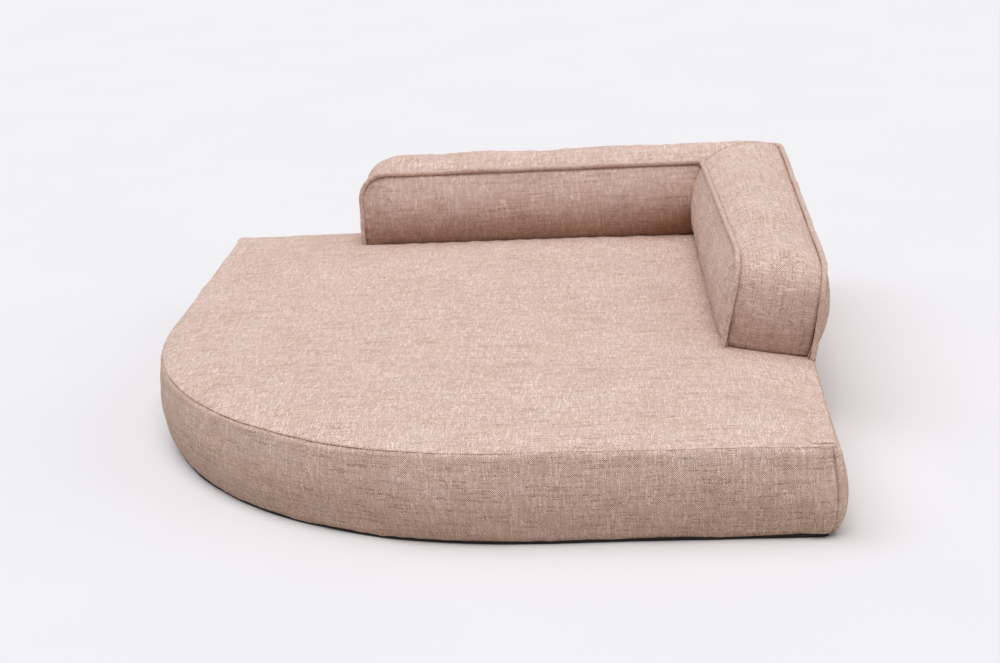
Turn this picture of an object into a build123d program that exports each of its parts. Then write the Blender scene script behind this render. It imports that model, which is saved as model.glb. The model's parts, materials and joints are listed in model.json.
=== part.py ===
from build123d import *
import os
from math import cos, pi, sin, sqrt

# A corner dog bed in millimetres: +X to the right, +Y to the back, +Z up,
# with the origin on the floor under the middle of the mattress.

# Mattress
bed_width = 760.0
bed_depth = 870.0
round_corner_radius = 455.0
square_corner_radius = 14.0
mattress_height = 100.5
mattress_crown = 5.0
edge_crown = 1.0
side_swell = 5.0
side_swell_height = 50.0
floor_tuck = 5.0
top_tuck = 3.0

# Cloth and its running clearance
cloth_thickness = 1.6
base_cloth_thickness = 1.6
clearance = 0.3
overrun = 12.0
skin_overrun = 2.0

# Bolster, along the back and the right edge
bolster_height = 99.5
bolster_crown = 17.0
back_leg_thickness = 81.0
right_leg_thickness = 97.5
back_leg_length = 567.0
right_leg_length = 566.0
leg_end_radius = 35.0
inner_face_swell = 5.0
outer_face_swell = 3.0
root_depth = 20.0

# The right leg splays and leans outwards, most at its free end, where it presses the mattress edge down
leg_splay = 18.0
free_end_lean = 22.5
inner_corner_lean = 12.0
outer_corner_lean = -6.0
edge_sink = 17.0

# Piping
piping_diameter = 6.5
piping_cord_diameter = 3.8
piping_cord_clearance = 0.1
piping_inner_corner_radius = 8.0
piping_outer_corner_radius = 14.0

# Zips: tapes, teeth and stops
zip_tape_thickness = 0.8
zip_tape_reach = 12.0
zip_window_width = 14.0
teeth_gap = 1.4
teeth_row_width = 2.2
teeth_thickness = 2.2
tooth_pitch = 3.2
tooth_length = 1.9
tooth_depth = 1.0
stop_length = 3.0
stop_overlap = 0.6

# Zip sliders
slider_length = 11.0
slider_width = 8.8
slider_plate = 1.0
slider_corner_radius = 1.5
post_length = 2.5
post_inset = 0.8
bridge_length = 8.0
bridge_top_length = 5.6
bridge_height = 3.2
bridge_width = 2.0
bridge_window_length = 4.0
bridge_window_height = 2.2

# Zip pulls
pull_bar_diameter = 1.4
pull_thickness = 1.2
pull_arm_width = 1.2
pull_eye_play = 0.6
pull_eye_length = 4.8
pull_length = 24.0
pull_corner_radius = 1.8
pull_hole_diameter = 2.4

# Where the zips lie
mattress_zip_end_distance = 60.0
bolster_zip_end_distance = 60.0
bolster_zip_corner_distance = 87.0
bolster_zip_rise = 22.0

round_end_steps = 5
end_swell_share = 0.1
teeth_edge = teeth_gap / 2 + teeth_row_width
bolster_top = mattress_height + bolster_height + bolster_crown + overrun
right_edge = bed_width / 2
back_edge = bed_depth / 2
inner_back = back_edge - back_leg_thickness
inner_run = right_leg_length - back_leg_thickness


def block(x_span, y_span, z_span):
    """Box between two limits on each axis."""
    spans = (x_span, y_span, z_span)
    centre = [(low + high) / 2 for low, high in spans]
    return Pos(*centre) * Box(*[high - low for low, high in spans])


def plan_prism(points, low, high):
    """Upright prism on a plan outline of straight sides."""
    outline = Polyline(*points, close=True)
    return Pos(0, 0, low) * extrude(make_face(outline), amount=high - low)


def mattress_outline(height, grow):
    """Mattress plan at one height, moved outwards by grow."""
    right = bed_width / 2 + grow
    back = bed_depth / 2 + grow
    corner = square_corner_radius + grow
    big = round_corner_radius + grow
    slant = 1 - cos(pi / 4)

    def square_arc(x_sign, y_sign, swap):
        start = (x_sign * right, y_sign * (back - corner), height)
        end = (x_sign * (right - corner), y_sign * back, height)
        middle = (x_sign * (right - corner * slant), y_sign * (back - corner * slant), height)
        if swap:
            start, end = end, start
        return start, middle, end

    front_arc = square_arc(1, -1, True)
    back_arc = square_arc(1, 1, False)
    left_arc = square_arc(-1, 1, True)
    round_start = (-right, big - back, height)
    round_middle = (-right + big * slant, -back + big * slant, height)
    round_end = (big - right, -back, height)
    edges = [
        ThreePointArc(*front_arc),
        Line(front_arc[2], back_arc[0]),
        ThreePointArc(*back_arc),
        Line(back_arc[2], left_arc[0]),
        ThreePointArc(*left_arc),
        Line(left_arc[2], round_start),
        ThreePointArc(round_start, round_middle, round_end),
        Line(round_end, front_arc[0]),
    ]
    return Wire(edges)


def mattress_form(inset):
    """Swollen sides of the mattress, carried on past its top."""
    heights = (
        (0, -floor_tuck),
        (side_swell_height, side_swell),
        (mattress_height + overrun, -top_tuck),
    )
    return Solid.make_loft([mattress_outline(z, grow - inset) for z, grow in heights])


def inner_foot_x(run):
    """Foot of the right leg's inner face, at a distance from the leg's free end."""
    return right_edge - right_leg_thickness - leg_splay * run / inner_run


def top_section(y, lift, crown, sink):
    """Section of the mattress across the bed, up to its top surface."""
    side = bed_width / 2 + overrun
    hinge = inner_foot_x(y - back_edge + right_leg_length)
    level = mattress_height + lift
    edge_level = level - sink * (side - hinge) / (right_edge - hinge)
    crest = ((hinge - side) / 2, y, level + crown)
    edges = [
        Line((-side, y, -overrun), (-side, y, level)),
        ThreePointArc((-side, y, level), crest, (hinge, y, level)),
        Line((hinge, y, level), (side, y, edge_level)),
        Line((side, y, edge_level), (side, y, -overrun)),
        Line((side, y, -overrun), (-side, y, -overrun)),
    ]
    return Wire(edges)


def under_top(lift):
    """All that lies under the mattress top, with the surface raised by lift."""
    sections = [
        top_section(-back_edge - overrun, lift, edge_crown, 0),
        top_section(back_edge - right_leg_length, lift, mattress_crown, edge_sink),
        top_section(back_edge - right_leg_length / 2, lift, mattress_crown, edge_sink / 2),
        top_section(back_edge + overrun, lift, edge_crown, 0),
    ]
    return Solid.make_loft(sections)


def back_leg_corners(run):
    """Foot and head of the back leg's inner and outer faces."""
    x = right_edge - back_leg_length + run
    head = mattress_height + bolster_height
    return (
        Vector(x, inner_back, mattress_height),
        Vector(x, inner_back, head),
        Vector(x, back_edge, head),
        Vector(x, back_edge, mattress_height),
    )


def right_leg_corners(run):
    """Foot and head of the right leg's inner and outer faces."""
    y = back_edge - right_leg_length + run
    towards_corner = run / right_leg_length
    foot_x = inner_foot_x(run)
    inner_lean = free_end_lean + (inner_corner_lean - free_end_lean) * run / inner_run
    outer_lean = free_end_lean + (outer_corner_lean - free_end_lean) * towards_corner
    sink = edge_sink * (1 - towards_corner)
    head = mattress_height + bolster_height
    return (
        Vector(foot_x, y, mattress_height),
        Vector(foot_x + inner_lean, y, head),
        Vector(right_edge + outer_lean, y, head - sink),
        Vector(right_edge, y, mattress_height - sink),
    )


def arch(position, span, rise):
    """Height of a circular arc of a given rise, at a position along its span."""
    radius = (span**2 / 4 + rise**2) / (2 * rise)
    return sqrt(radius**2 - (position - span / 2) ** 2) - radius + rise


def face_points(foot, head, across, inset, swell, top_z):
    """Foot, middle and top of a swollen face; across points into the leg."""
    points = []
    for level in (0, 0.5, 1):
        share = level * (top_z - foot.Z) / (head.Z - foot.Z)
        out = arch(share * bolster_height, bolster_height, swell)
        points.append(foot + (head - foot) * share + across * (inset - out))
    return points


def leg_section(leg, run, rise, crown_share, inner, outer, root_drop):
    """Section of a bolster leg: swollen faces, crowned top and a root below the mattress top."""
    corners, across = leg
    inner_foot, inner_head, outer_head, outer_foot = corners(run)
    swell_share = end_swell_share + (1 - end_swell_share) * min(run / leg_end_radius, 1)
    inner_level = inner_foot + (inner_head - inner_foot) * (rise / bolster_height)
    outer_level = outer_foot + (outer_head - outer_foot) * (rise / bolster_height)
    width = (outer_level - inner_level).dot(across)

    def top_point(position):
        lift = arch(position, width, bolster_crown * crown_share)
        return inner_level + (outer_level - inner_level) * (position / width) + Vector(0, 0, lift)

    inner_swell = inner_face_swell * swell_share
    outer_swell = outer_face_swell * swell_share
    inner_side = face_points(inner_foot, inner_head, across, inner, inner_swell, top_point(inner).Z)
    outer_z = top_point(width - outer).Z
    outer_side = face_points(outer_foot, outer_head, across * -1, outer, outer_swell, outer_z)
    crest = top_point((inner + width - outer) / 2)
    root = Vector(0, 0, -root_drop)
    edges = [
        Line(inner_side[0] + root, inner_side[0]),
        ThreePointArc(*inner_side),
        ThreePointArc(inner_side[2], crest, outer_side[2]),
        ThreePointArc(*reversed(outer_side)),
        Line(outer_side[0], outer_side[0] + root),
        Line(outer_side[0] + root, inner_side[0] + root),
    ]
    return Wire(edges)


def leg_form(leg, inner, outer, wrap):
    """Whole leg, drawn in by inner and outer on its faces and by wrap on its top and free end."""
    radius = leg_end_radius - wrap
    full_rise = bolster_height - wrap
    root_drop = root_depth - wrap
    sections = []
    for step in range(round_end_steps + 1):
        angle = step / round_end_steps * pi / 2
        run = wrap + radius * (1 - cos(angle))
        rise = full_rise - radius * (1 - sin(angle))
        crown_share = max(sin(angle), end_swell_share)
        sections.append(leg_section(leg, run, rise, crown_share, inner, outer, root_drop))
    far_run = max(back_leg_length, right_leg_length) + 2 * overrun - wrap
    sections.append(leg_section(leg, far_run, full_rise, 1, inner, outer, root_drop))
    return Solid.make_loft(sections, ruled=True)


back_leg = (back_leg_corners, Vector(0, 1, 0))
right_leg = (right_leg_corners, Vector(1, 0, 0))
inner_corner = right_leg_corners(inner_run)[1]
outer_corner = right_leg_corners(right_leg_length)[2]
mitre = (outer_corner - inner_corner) * (1 + overrun / back_leg_thickness)
mitre_end = inner_corner + mitre


def leg_regions():
    """Plan regions of the two legs, which meet in the mitred seam."""
    back_start = right_edge - back_leg_length - overrun
    right_start = back_edge - right_leg_length - overrun
    near = inner_back - overrun
    far_side = right_edge + free_end_lean + overrun
    back_points = [
        (back_start, near),
        (inner_corner.X, near),
        (inner_corner.X, inner_corner.Y),
        (mitre_end.X, mitre_end.Y),
        (back_start, mitre_end.Y),
    ]
    right_points = [
        (inner_corner.X - leg_splay - overrun, right_start),
        (far_side, right_start),
        (far_side, back_edge),
        (outer_corner.X, outer_corner.Y),
        (inner_corner.X, inner_corner.Y),
        (inner_corner.X - leg_splay - overrun, inner_corner.Y),
    ]
    return [plan_prism(points, 0, bolster_top) for points in (back_points, right_points)]


def placed_comb(first_x, last_x, side, shift, y, z):
    """One row of teeth: a spine with square teeth that reach towards the middle."""
    spine = side * (teeth_edge - teeth_row_width + tooth_depth)
    tip = side * (teeth_edge - teeth_row_width)
    points = [(first_x, side * teeth_edge), (first_x, spine)]
    first_tooth = first_x + tooth_pitch / 2 + shift
    count = int((last_x - first_tooth) / tooth_pitch)
    for tooth in range(count):
        left = first_tooth + tooth * tooth_pitch
        points += [(left, spine), (left, tip), (left + tooth_length, tip), (left + tooth_length, spine)]
    points += [(last_x, spine), (last_x, side * teeth_edge)]
    face = make_face(Plane.XZ * Polyline(*points, close=True))
    return Pos(0, y, z) * extrude(face, amount=teeth_thickness / 2, both=True)


def zip_slider(x, y, z):
    """Slider: two plates with side lips, a post between the rows of teeth and a bridge for the pull."""
    half_height = teeth_thickness / 2 + clearance + slider_plate
    half_channel = teeth_thickness / 2 + clearance
    half_slot = zip_tape_thickness / 2 + clearance
    long_span = (-slider_length, slider_length)
    outline = Plane.XZ * RectangleRounded(slider_length, slider_width, slider_corner_radius)
    body = extrude(outline, amount=half_height, both=True)
    channel_reach = teeth_edge + clearance
    body -= block(long_span, (-half_channel, half_channel), (-channel_reach, channel_reach))
    body -= block(long_span, (-half_slot, half_slot), (-slider_width, slider_width))
    post_end = slider_length / 2 - post_inset
    half_post = teeth_gap / 2 - clearance
    body += block((post_end - post_length, post_end), (-half_height, half_height), (-half_post, half_post))
    side_view = Polyline(
        (-bridge_length / 2, half_channel),
        (bridge_length / 2, half_channel),
        (bridge_length / 2, half_height),
        (bridge_top_length / 2, half_height + bridge_height),
        (-bridge_top_length / 2, half_height + bridge_height),
        (-bridge_length / 2, half_height),
        close=True,
    )
    bridge = extrude(make_face(side_view), amount=bridge_width / 2, both=True)
    window_x = (-bridge_window_length / 2, bridge_window_length / 2)
    bridge -= block(window_x, (half_height, half_height + bridge_window_height), (-bridge_width, bridge_width))
    return Pos(x, y, z) * (body + bridge)


def zip_pull(x, y, z):
    """Pull tab lying along the zip, with its bar through the slider's bridge."""
    eye_half = bridge_width / 2 + pull_eye_play
    width = 2 * (eye_half + pull_arm_width)
    thick = (-pull_thickness / 2, pull_thickness / 2)
    pull = Cylinder(pull_bar_diameter / 2, width)
    for side in (1, -1):
        arm = sorted((side * eye_half, side * width / 2))
        pull += block((-pull_eye_length - pull_corner_radius, 0), thick, arm)
    plate_length = pull_length - pull_eye_length
    plate = RectangleRounded(plate_length, width, pull_corner_radius)
    hole = Pos(-plate_length / 2 + width / 2, 0) * Circle(pull_hole_diameter / 2)
    shape = Plane.XZ * (Pos(-pull_eye_length - plate_length / 2, 0) * (plate - hole))
    pull += extrude(shape, amount=pull_thickness / 2, both=True)
    return Pos(x, y, z) * pull


def zip_tape_y(face_y):
    """Middle plane of the zip tapes behind a cloth face."""
    return face_y - cloth_thickness - clearance - zip_tape_thickness / 2


def zip_pieces(name, start_x, end_x, face_y, centre_z):
    """All pieces of one closed zip along X, with its slider at the right-hand end."""
    y = zip_tape_y(face_y)
    tape_span = (y - zip_tape_thickness / 2, y + zip_tape_thickness / 2)
    stop_half = teeth_thickness / 2 + stop_overlap
    stop_span = (y - stop_half, y + stop_half)
    teeth_start = start_x + stop_length
    teeth_end = end_x - stop_length
    pieces = {}
    top_stops = []
    for label, side, shift in (("upper", 1, 0), ("lower", -1, tooth_pitch / 2)):
        tape_z = sorted((centre_z + side * teeth_edge, centre_z + side * zip_tape_reach))
        stop_z = sorted((centre_z + side * teeth_gap / 2, centre_z + side * teeth_edge))
        pieces[f"{name}_zip_{label}_tape"] = block((start_x, end_x), tape_span, tape_z)
        teeth = placed_comb(teeth_start, teeth_end, side, shift, y, centre_z)
        pieces[f"{name}_zip_{label}_teeth"] = teeth
        top_stops.append(block((teeth_end, end_x), stop_span, stop_z))
    pieces[f"{name}_zip_top_stops"] = Compound(top_stops)
    bottom_z = (centre_z - teeth_edge, centre_z + teeth_edge)
    pieces[f"{name}_zip_bottom_stop"] = block((start_x, teeth_start), stop_span, bottom_z)
    slider_x = teeth_end - clearance - slider_length / 2
    pieces[f"{name}_zip_slider"] = zip_slider(slider_x, y, centre_z)
    plate_y = y + teeth_thickness / 2 + clearance + slider_plate
    pivot_y = plate_y + bridge_window_height / 2
    pieces[f"{name}_zip_pull"] = zip_pull(slider_x, pivot_y, centre_z)
    travel = slider_x - slider_length / 2 - teeth_start - clearance
    print(f"{name} zip: slider travel {travel:.2f}, pull axis at {slider_x:.3f} {pivot_y:.3f} {centre_z:.3f}")
    return pieces


def zip_room(start_x, end_x, face_y, centre_z):
    """Space that the zip takes out of the cloth and out of the foam behind it."""
    y = zip_tape_y(face_y)
    half_tape = zip_tape_thickness / 2 + clearance
    half_slider = teeth_thickness / 2 + 2 * clearance + slider_plate
    reach = zip_tape_reach + clearance
    half_window = zip_window_width / 2
    outside = face_y + overrun
    x_span = (start_x - clearance, end_x + clearance)
    window = block(x_span, (y - half_slider, outside), (centre_z - half_window, centre_z + half_window))
    pocket = block(x_span, (y - half_tape, y + half_tape), (centre_z - reach, centre_z + reach))
    return window + pocket


def mattress_pieces():
    """Foam slab and the cover panels sewn round it."""
    form = mattress_form(0)
    top_space = under_top(-cloth_thickness - clearance)
    above_base = block(
        (-bed_width, bed_width), (-bed_depth, bed_depth), (base_cloth_thickness + clearance, bolster_top)
    )
    base_slab = block((-bed_width, bed_width), (-bed_depth, bed_depth), (0, base_cloth_thickness))
    core_form = mattress_form(cloth_thickness + clearance)
    ring = (form - mattress_form(cloth_thickness)) & top_space & above_base
    right = right_edge + overrun
    back = back_edge + overrun
    depth = square_corner_radius + 2 * overrun
    right_points = [(right - depth, depth - back), (right, -back), (right, back), (right - depth, back - depth)]
    back_points = [(depth - right, back - depth), (-right, back), (right, back), (right - depth, back - depth)]
    right_side = plan_prism(right_points, 0, bolster_top)
    back_side = plan_prism(back_points, 0, bolster_top)
    zip_start = mattress_zip_end_distance - right_edge
    zip_line = (zip_start, -zip_start, back_edge + side_swell, side_swell_height)
    room = zip_room(*zip_line)
    back_band = (ring & back_side) - room
    upper_half = block((-bed_width, bed_width), (-bed_depth, bed_depth), (side_swell_height, bolster_top))
    pieces = {
        "mattress_foam": (core_form & top_space & above_base) - room,
        "mattress_top_panel": (form & under_top(0)) - under_top(-cloth_thickness),
        "mattress_front_band": ring - right_side - back_side,
        "mattress_right_band": ring & right_side,
        "mattress_back_band_upper": back_band & upper_half,
        "mattress_back_band_lower": back_band - upper_half,
        "mattress_base_cloth": form & base_slab,
    }
    pieces.update(zip_pieces("mattress", *zip_line))
    return pieces


def piping_path(side):
    """Edge line of the bolster along one face, up and over both free ends: side 0 inner, 1 outer."""
    foot, head = ((0, 1), (3, 2))[side]
    back_start = back_leg_corners(0)
    right_start = right_leg_corners(0)
    back_foot = back_start[foot] + (back_start[foot] - back_start[head]).normalized() * root_depth
    right_foot = right_start[foot] + (right_start[foot] - right_start[head]).normalized() * root_depth
    corner = (inner_corner, outer_corner)[side]
    corner_radius = (piping_inner_corner_radius, piping_outer_corner_radius)[side]
    points = (back_foot, back_start[head], corner, right_start[head], right_foot)
    return FilletPolyline(*points, radius=[leg_end_radius, corner_radius, leg_end_radius])


def tube(path, diameter):
    """Round rod along a path."""
    section = Plane(origin=path @ 0, z_dir=path % 0) * Circle(diameter / 2)
    return sweep(section, path=path)


def leg_pieces(name, leg, cutters, region):
    """Cover panels and foam of one bolster leg, before the corner is cut."""
    seam = cloth_thickness + clearance
    form = leg_form(leg, 0, 0, 0)
    cover_band = leg_form(leg, seam, seam, 0) - leg_form(leg, -skin_overrun, -skin_overrun, cloth_thickness)
    core = leg_form(leg, seam, seam, seam)
    seat = under_top(clearance)
    floor_top = under_top(clearance + cloth_thickness)
    outer_rest = leg_form(leg, cloth_thickness, -skin_overrun, -skin_overrun)
    inner_rest = leg_form(leg, -skin_overrun, cloth_thickness, -skin_overrun)
    pieces = {
        f"bolster_{name}_inner_panel": form - outer_rest - seat,
        f"bolster_{name}_outer_panel": form - inner_rest - seat,
        f"bolster_{name}_top_band": cover_band - seat,
        f"bolster_{name}_bottom_panel": (core - seat) & floor_top,
        f"bolster_{name}_foam": core - under_top(2 * clearance + cloth_thickness),
    }
    for key, piece in pieces.items():
        piece = piece & region
        for cutter in cutters:
            piece = piece - cutter
        pieces[key] = piece
    return pieces


def bolster_pieces():
    """Both legs of the bolster, their piping and the zip low on the back."""
    pieces = {}
    piping_space = []
    for side, label in enumerate(("inner", "outer")):
        path = piping_path(side)
        seat = under_top(clearance)
        cover = tube(path, piping_diameter) - tube(path, piping_cord_diameter + 2 * piping_cord_clearance)
        pieces[f"bolster_{label}_piping_cover"] = cover - seat
        pieces[f"bolster_{label}_piping_cord"] = tube(path, piping_cord_diameter) - seat
        piping_space.append(tube(path, piping_diameter + 2 * clearance))
    back_region, right_region = leg_regions()
    in_front = block((-bed_width, bed_width), (-bed_depth, inner_back), (0, bolster_top))
    right_front = leg_form(right_leg, -clearance, -clearance, -clearance) & in_front
    pieces.update(leg_pieces("back", back_leg, piping_space + [right_front], back_region))
    pieces.update(leg_pieces("right", right_leg, piping_space, right_region))
    behind = block((-bed_width, bed_width), (back_edge - cloth_thickness - clearance, bed_depth), (0, bolster_top))
    pieces["bolster_right_foam"] = pieces["bolster_right_foam"] - behind
    start = right_edge - back_leg_length + bolster_zip_end_distance
    zip_z = mattress_height + bolster_zip_rise
    face_y = back_edge + arch(bolster_zip_rise, bolster_height, outer_face_swell)
    end = right_edge - bolster_zip_corner_distance
    zip_line = (start, end, face_y, zip_z)
    room = zip_room(*zip_line)
    above_zip = block((-bed_width, bed_width), (0, bed_depth), (zip_z, bolster_top))
    outer_panel = pieces["bolster_back_outer_panel"] - room
    pieces["bolster_back_outer_panel"] = outer_panel & above_zip
    pieces["bolster_back_zip_strip"] = outer_panel - above_zip
    pieces["bolster_back_foam"] = pieces["bolster_back_foam"] - room
    pieces.update(zip_pieces("bolster", *zip_line))
    return pieces


def save(pieces):
    """Write each piece to its own file."""
    os.makedirs("parts", exist_ok=True)
    for name, piece in pieces.items():
        solids = piece.solids()
        shape = solids[0] if len(solids) == 1 else Compound(solids)
        export_step(shape, f"parts/{name}.step")


save(mattress_pieces())
save(bolster_pieces())
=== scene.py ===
import json
import math
from typing import Callable, NamedTuple

import bmesh
import bpy
import numpy as np
from mathutils import Matrix, Vector
from mathutils.geometry import delaunay_2d_cdt


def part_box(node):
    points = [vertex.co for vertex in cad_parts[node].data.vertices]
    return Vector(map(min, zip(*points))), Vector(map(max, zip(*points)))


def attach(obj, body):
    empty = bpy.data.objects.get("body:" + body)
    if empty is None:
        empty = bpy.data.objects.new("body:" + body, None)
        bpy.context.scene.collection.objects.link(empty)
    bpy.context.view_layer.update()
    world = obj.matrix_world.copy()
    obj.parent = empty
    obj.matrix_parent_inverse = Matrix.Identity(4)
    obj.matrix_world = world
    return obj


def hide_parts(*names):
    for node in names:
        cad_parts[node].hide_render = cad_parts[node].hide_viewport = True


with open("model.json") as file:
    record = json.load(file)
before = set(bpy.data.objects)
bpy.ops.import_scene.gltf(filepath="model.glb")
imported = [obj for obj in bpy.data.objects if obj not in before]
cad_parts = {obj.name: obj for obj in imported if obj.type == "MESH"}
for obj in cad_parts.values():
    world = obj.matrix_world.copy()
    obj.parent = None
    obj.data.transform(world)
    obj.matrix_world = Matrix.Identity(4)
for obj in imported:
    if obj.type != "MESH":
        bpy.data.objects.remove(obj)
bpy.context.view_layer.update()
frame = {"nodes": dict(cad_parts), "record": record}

# Lengths are in millimetres up to the materials, and new_mesh turns them into metres
MM = 0.001
BED = "bed"
UP = np.array([0, 0, 1.0])

# Mattress
HALF_WIDTH = 380.0
HALF_DEPTH = 435.0
FLOOR_TUCK = 5.0
ROUND_RADIUS = 455.0
SQUARE_RADIUS = 14.0
HEIGHT = 100.5
SIDE_SWELL = 5.0
SWELL_HEIGHT = 50.0
TOP_TUCK = 3.0
TUCK_HEIGHT = 112.5
CROWN = 5.0
EDGE_CROWN = 1.0
LEAST_CROWN = 0.5
TOP_REACH = 12.0
CLOTH = 1.6

# Bolster
BOLSTER_HEIGHT = 99.5
HEAD = HEIGHT + BOLSTER_HEIGHT
BOLSTER_CROWN = 17.0
BACK_THICKNESS = 81.0
RIGHT_THICKNESS = 97.5
BACK_LENGTH = 567.0
RIGHT_LENGTH = 566.0
BACK_START = HALF_WIDTH - BACK_LENGTH
RIGHT_START = HALF_DEPTH - RIGHT_LENGTH
END_RADIUS = 35.0
SPLAY = 18.0
FREE_LEAN = 22.5
INNER_CORNER_LEAN = 12.0
OUTER_CORNER_LEAN = 5.0
OUTER_FREE_LEAN = 17.0
EDGE_SINK = 17.0
INNER_BACK = HALF_DEPTH - BACK_THICKNESS
INNER_RUN = RIGHT_LENGTH - BACK_THICKNESS
PIPING = 6.5
PIPING_CORD = 3.8
PIPING_PROUD = 2.2
PIPING_STEP = 2.5
CORD_TWIST = 0.9
MITRE_SLANT = 0.72
OUTER_CORNER_RADIUS = 14.0
INNER_CORNER_RADIUS = 8.0

# Zips: ends along X, height of the upper one over the mattress, half of the opening in the cloth
MATTRESS_ZIP = (-320.0, 320.0)
BOLSTER_ZIP = (-127.0, 293.0)
BOLSTER_ZIP_RISE = 22.0
ZIP_OPENING = 7.0
TAPE_FIT = 0.98
TAPE_STEP = 6

# Spacing of the meshes' points
STEP = 4.0
FINE = 1.2
FINE_GROWTH = 0.28

# Weave depth of cloth with no seam near, and the gap in metres at which points merge
SEAMLESS = 20.0
MERGE_GAP = 1e-6

# Cloth simulation
CLOTH_SETTINGS = {
    "quality": 5,
    "mass": 0.3,
    "tension_stiffness": 15,
    "compression_stiffness": 15,
    "shear_stiffness": 5,
    "bending_stiffness": 0.5,
    "shrink_min": -0.006,
    "use_pressure": True,
    "uniform_pressure_force": 3.0,
    "vertex_group_mass": "held",
}
SETTLE_FRAMES = 20
SETTLE_MOST = 2.5
HELD_LEVELS = 20

panels = []


def smooth(edge0, edge1, x):
    """Smooth step from 0 at edge0 to 1 at edge1."""
    t = np.clip((x - edge0) / (edge1 - edge0), 0, 1)
    return t * t * (3 - 2 * t)


def hump(x, middle, width):
    """Bell curve."""
    return np.exp(-(((x - middle) / width) ** 2))


def fade(gap, reach):
    """Fall from 1 at a seam, by the same share over each reach."""
    return np.exp(-gap / reach)


def waves(points, wavelength, seed, spread=0.35, count=16):
    """Smooth random field of about unit height and one main wavelength, from a fixed seed."""
    rng = np.random.default_rng(seed)
    size = points.shape[-1]
    total = np.zeros(points.shape[:-1])
    for _ in range(count):
        way = rng.normal(size=size)
        way /= np.linalg.norm(way)
        length = wavelength * math.exp(rng.normal() * spread)
        total += np.sin(points @ way * (2 * math.pi / length) + rng.uniform(0, 2 * math.pi))
    return total * math.sqrt(2 / count)


def stacked(*columns):
    """Points from their coordinates, which are spread to one shape."""
    return np.stack(np.broadcast_arrays(*columns), -1)


def creases(across, up, *kinds):
    """Random creases. Each kind has a wavelength, a share that makes them taller, a size and a seed."""
    return sum(size * waves(stacked(across, up * tall), length, seed) for length, tall, size, seed in kinds)


def puckers(along, depth, wavelength, seed):
    """Small gathers along a seam, fading away from it."""
    return waves(stacked(along, depth * 0.25), wavelength, seed) * fade(depth, 1.1 * wavelength)


def hold(*seams):
    """Share by which seams hold the cloth: each has a distance, and where it lets go and starts to."""
    return np.maximum.reduce([smooth(far, near, gap) for gap, far, near in seams])


def steps(length, spacing, fine_start=False, fine_end=False):
    """Places from 0 to length, closer together near the ends that ask for it."""
    places, at = [0.0], 0.0
    while True:
        near = FINE + FINE_GROWTH * at if fine_start else spacing
        far = FINE + FINE_GROWTH * (length - at) if fine_end else spacing
        at += min(near, far, spacing)
        if at >= length - 0.4 * FINE:
            break
        places.append(at)
    places.append(length)
    return np.array(places)


def grid_faces(rows, columns, closed=False):
    """Quads of a grid whose points run along the rows; closed joins the last column to the first."""
    across = columns if closed else columns - 1
    r, c = np.meshgrid(np.arange(rows - 1) * columns, np.arange(across), indexing="ij")
    right = (c + 1) % columns
    below = r + columns
    return np.stack([r + c, r + right, below + right, below + c], -1).reshape(-1, 4)


def facing(points, faces, inside):
    """The faces turned so that most of them look away from an inside point."""
    faces = [tuple(f) for f in faces]
    quads = np.array([(*f, f[-1]) if len(f) == 3 else f for f in faces])
    a, b, c, d = (points[quads[:, i]] for i in range(4))
    normal = np.cross(c - a, d - b)
    outwards = (normal * ((a + c) / 2 - inside)).sum()
    return faces if outwards > 0 else [tuple(reversed(f)) for f in faces]


def new_mesh(name, points, faces, weave=None, inside=None, painted_shade=None):
    """Mesh object with smooth faces that look away from inside; weave is each point's place in its cloth, and
    the shade attribute says how much shade is painted on its colour.
    """
    points = np.asarray(points, float).reshape(-1, 3)
    if inside is not None:
        faces = facing(points, faces, np.array(inside))
    mesh = bpy.data.meshes.new(name)
    mesh.from_pydata((points * MM).tolist(), [], faces)
    if weave is not None:
        layer = mesh.attributes.new("weave", "FLOAT_VECTOR", "POINT")
        layer.data.foreach_set("vector", (weave * MM).astype(np.float32).ravel())
    if painted_shade is not None:
        layer = mesh.attributes.new("painted_shade", "FLOAT", "POINT")
        layer.data.foreach_set("value", painted_shade.astype(np.float32).ravel())
    mesh.shade_smooth()
    mesh.update()
    thing = bpy.data.objects.new(name, mesh)
    bpy.context.scene.collection.objects.link(thing)
    return thing


def close_up(thing):
    """Merges the points of a mesh that meet, and turns its faces outwards."""
    body = bmesh.new()
    body.from_mesh(thing.data)
    bmesh.ops.remove_doubles(body, verts=body.verts, dist=MERGE_GAP)
    bmesh.ops.recalc_face_normals(body, faces=body.faces)
    body.to_mesh(thing.data)
    body.free()
    thing.data.shade_smooth()
    return thing


def closed_from(name, sheets, inside):
    """One closed mesh from open sheets whose edges meet."""
    points, faces, start = [], [], 0
    for sheet_points, sheet_faces in sheets:
        flat = sheet_points.reshape(-1, 3)
        turned = facing(flat, sheet_faces, np.array(inside))
        points.append(flat)
        faces += [tuple(i + start for i in f) for f in turned]
        start += len(flat)
    return close_up(new_mesh(name, np.concatenate(points), faces, None, inside))


def fan(ring):
    """Points and triangles that close a ring."""
    n = len(ring)
    return np.concatenate([ring, ring.mean(0)[None]]), [(i, (i + 1) % n, n) for i in range(n)]


def closed_tube(name, rings, inside):
    """One closed mesh from rings of points, with a fan over each end."""
    wall = (rings, grid_faces(*rings.shape[:2], True))
    return closed_from(name, [fan(rings[0]), fan(rings[-1]), wall], inside)


def thicken(thing):
    """Gives a cloth surface its thickness, inwards."""
    shell = thing.modifiers.new("thickness", "SOLIDIFY")
    shell.thickness = CLOTH * MM
    shell.offset = -1


def finish_piece(thing, node, slot, material=None):
    """Puts a made piece on the bed, in place of its CAD node."""
    thing.data.materials.append(material or LOOKS[slot])
    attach(thing, BED)
    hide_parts(node)


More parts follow.
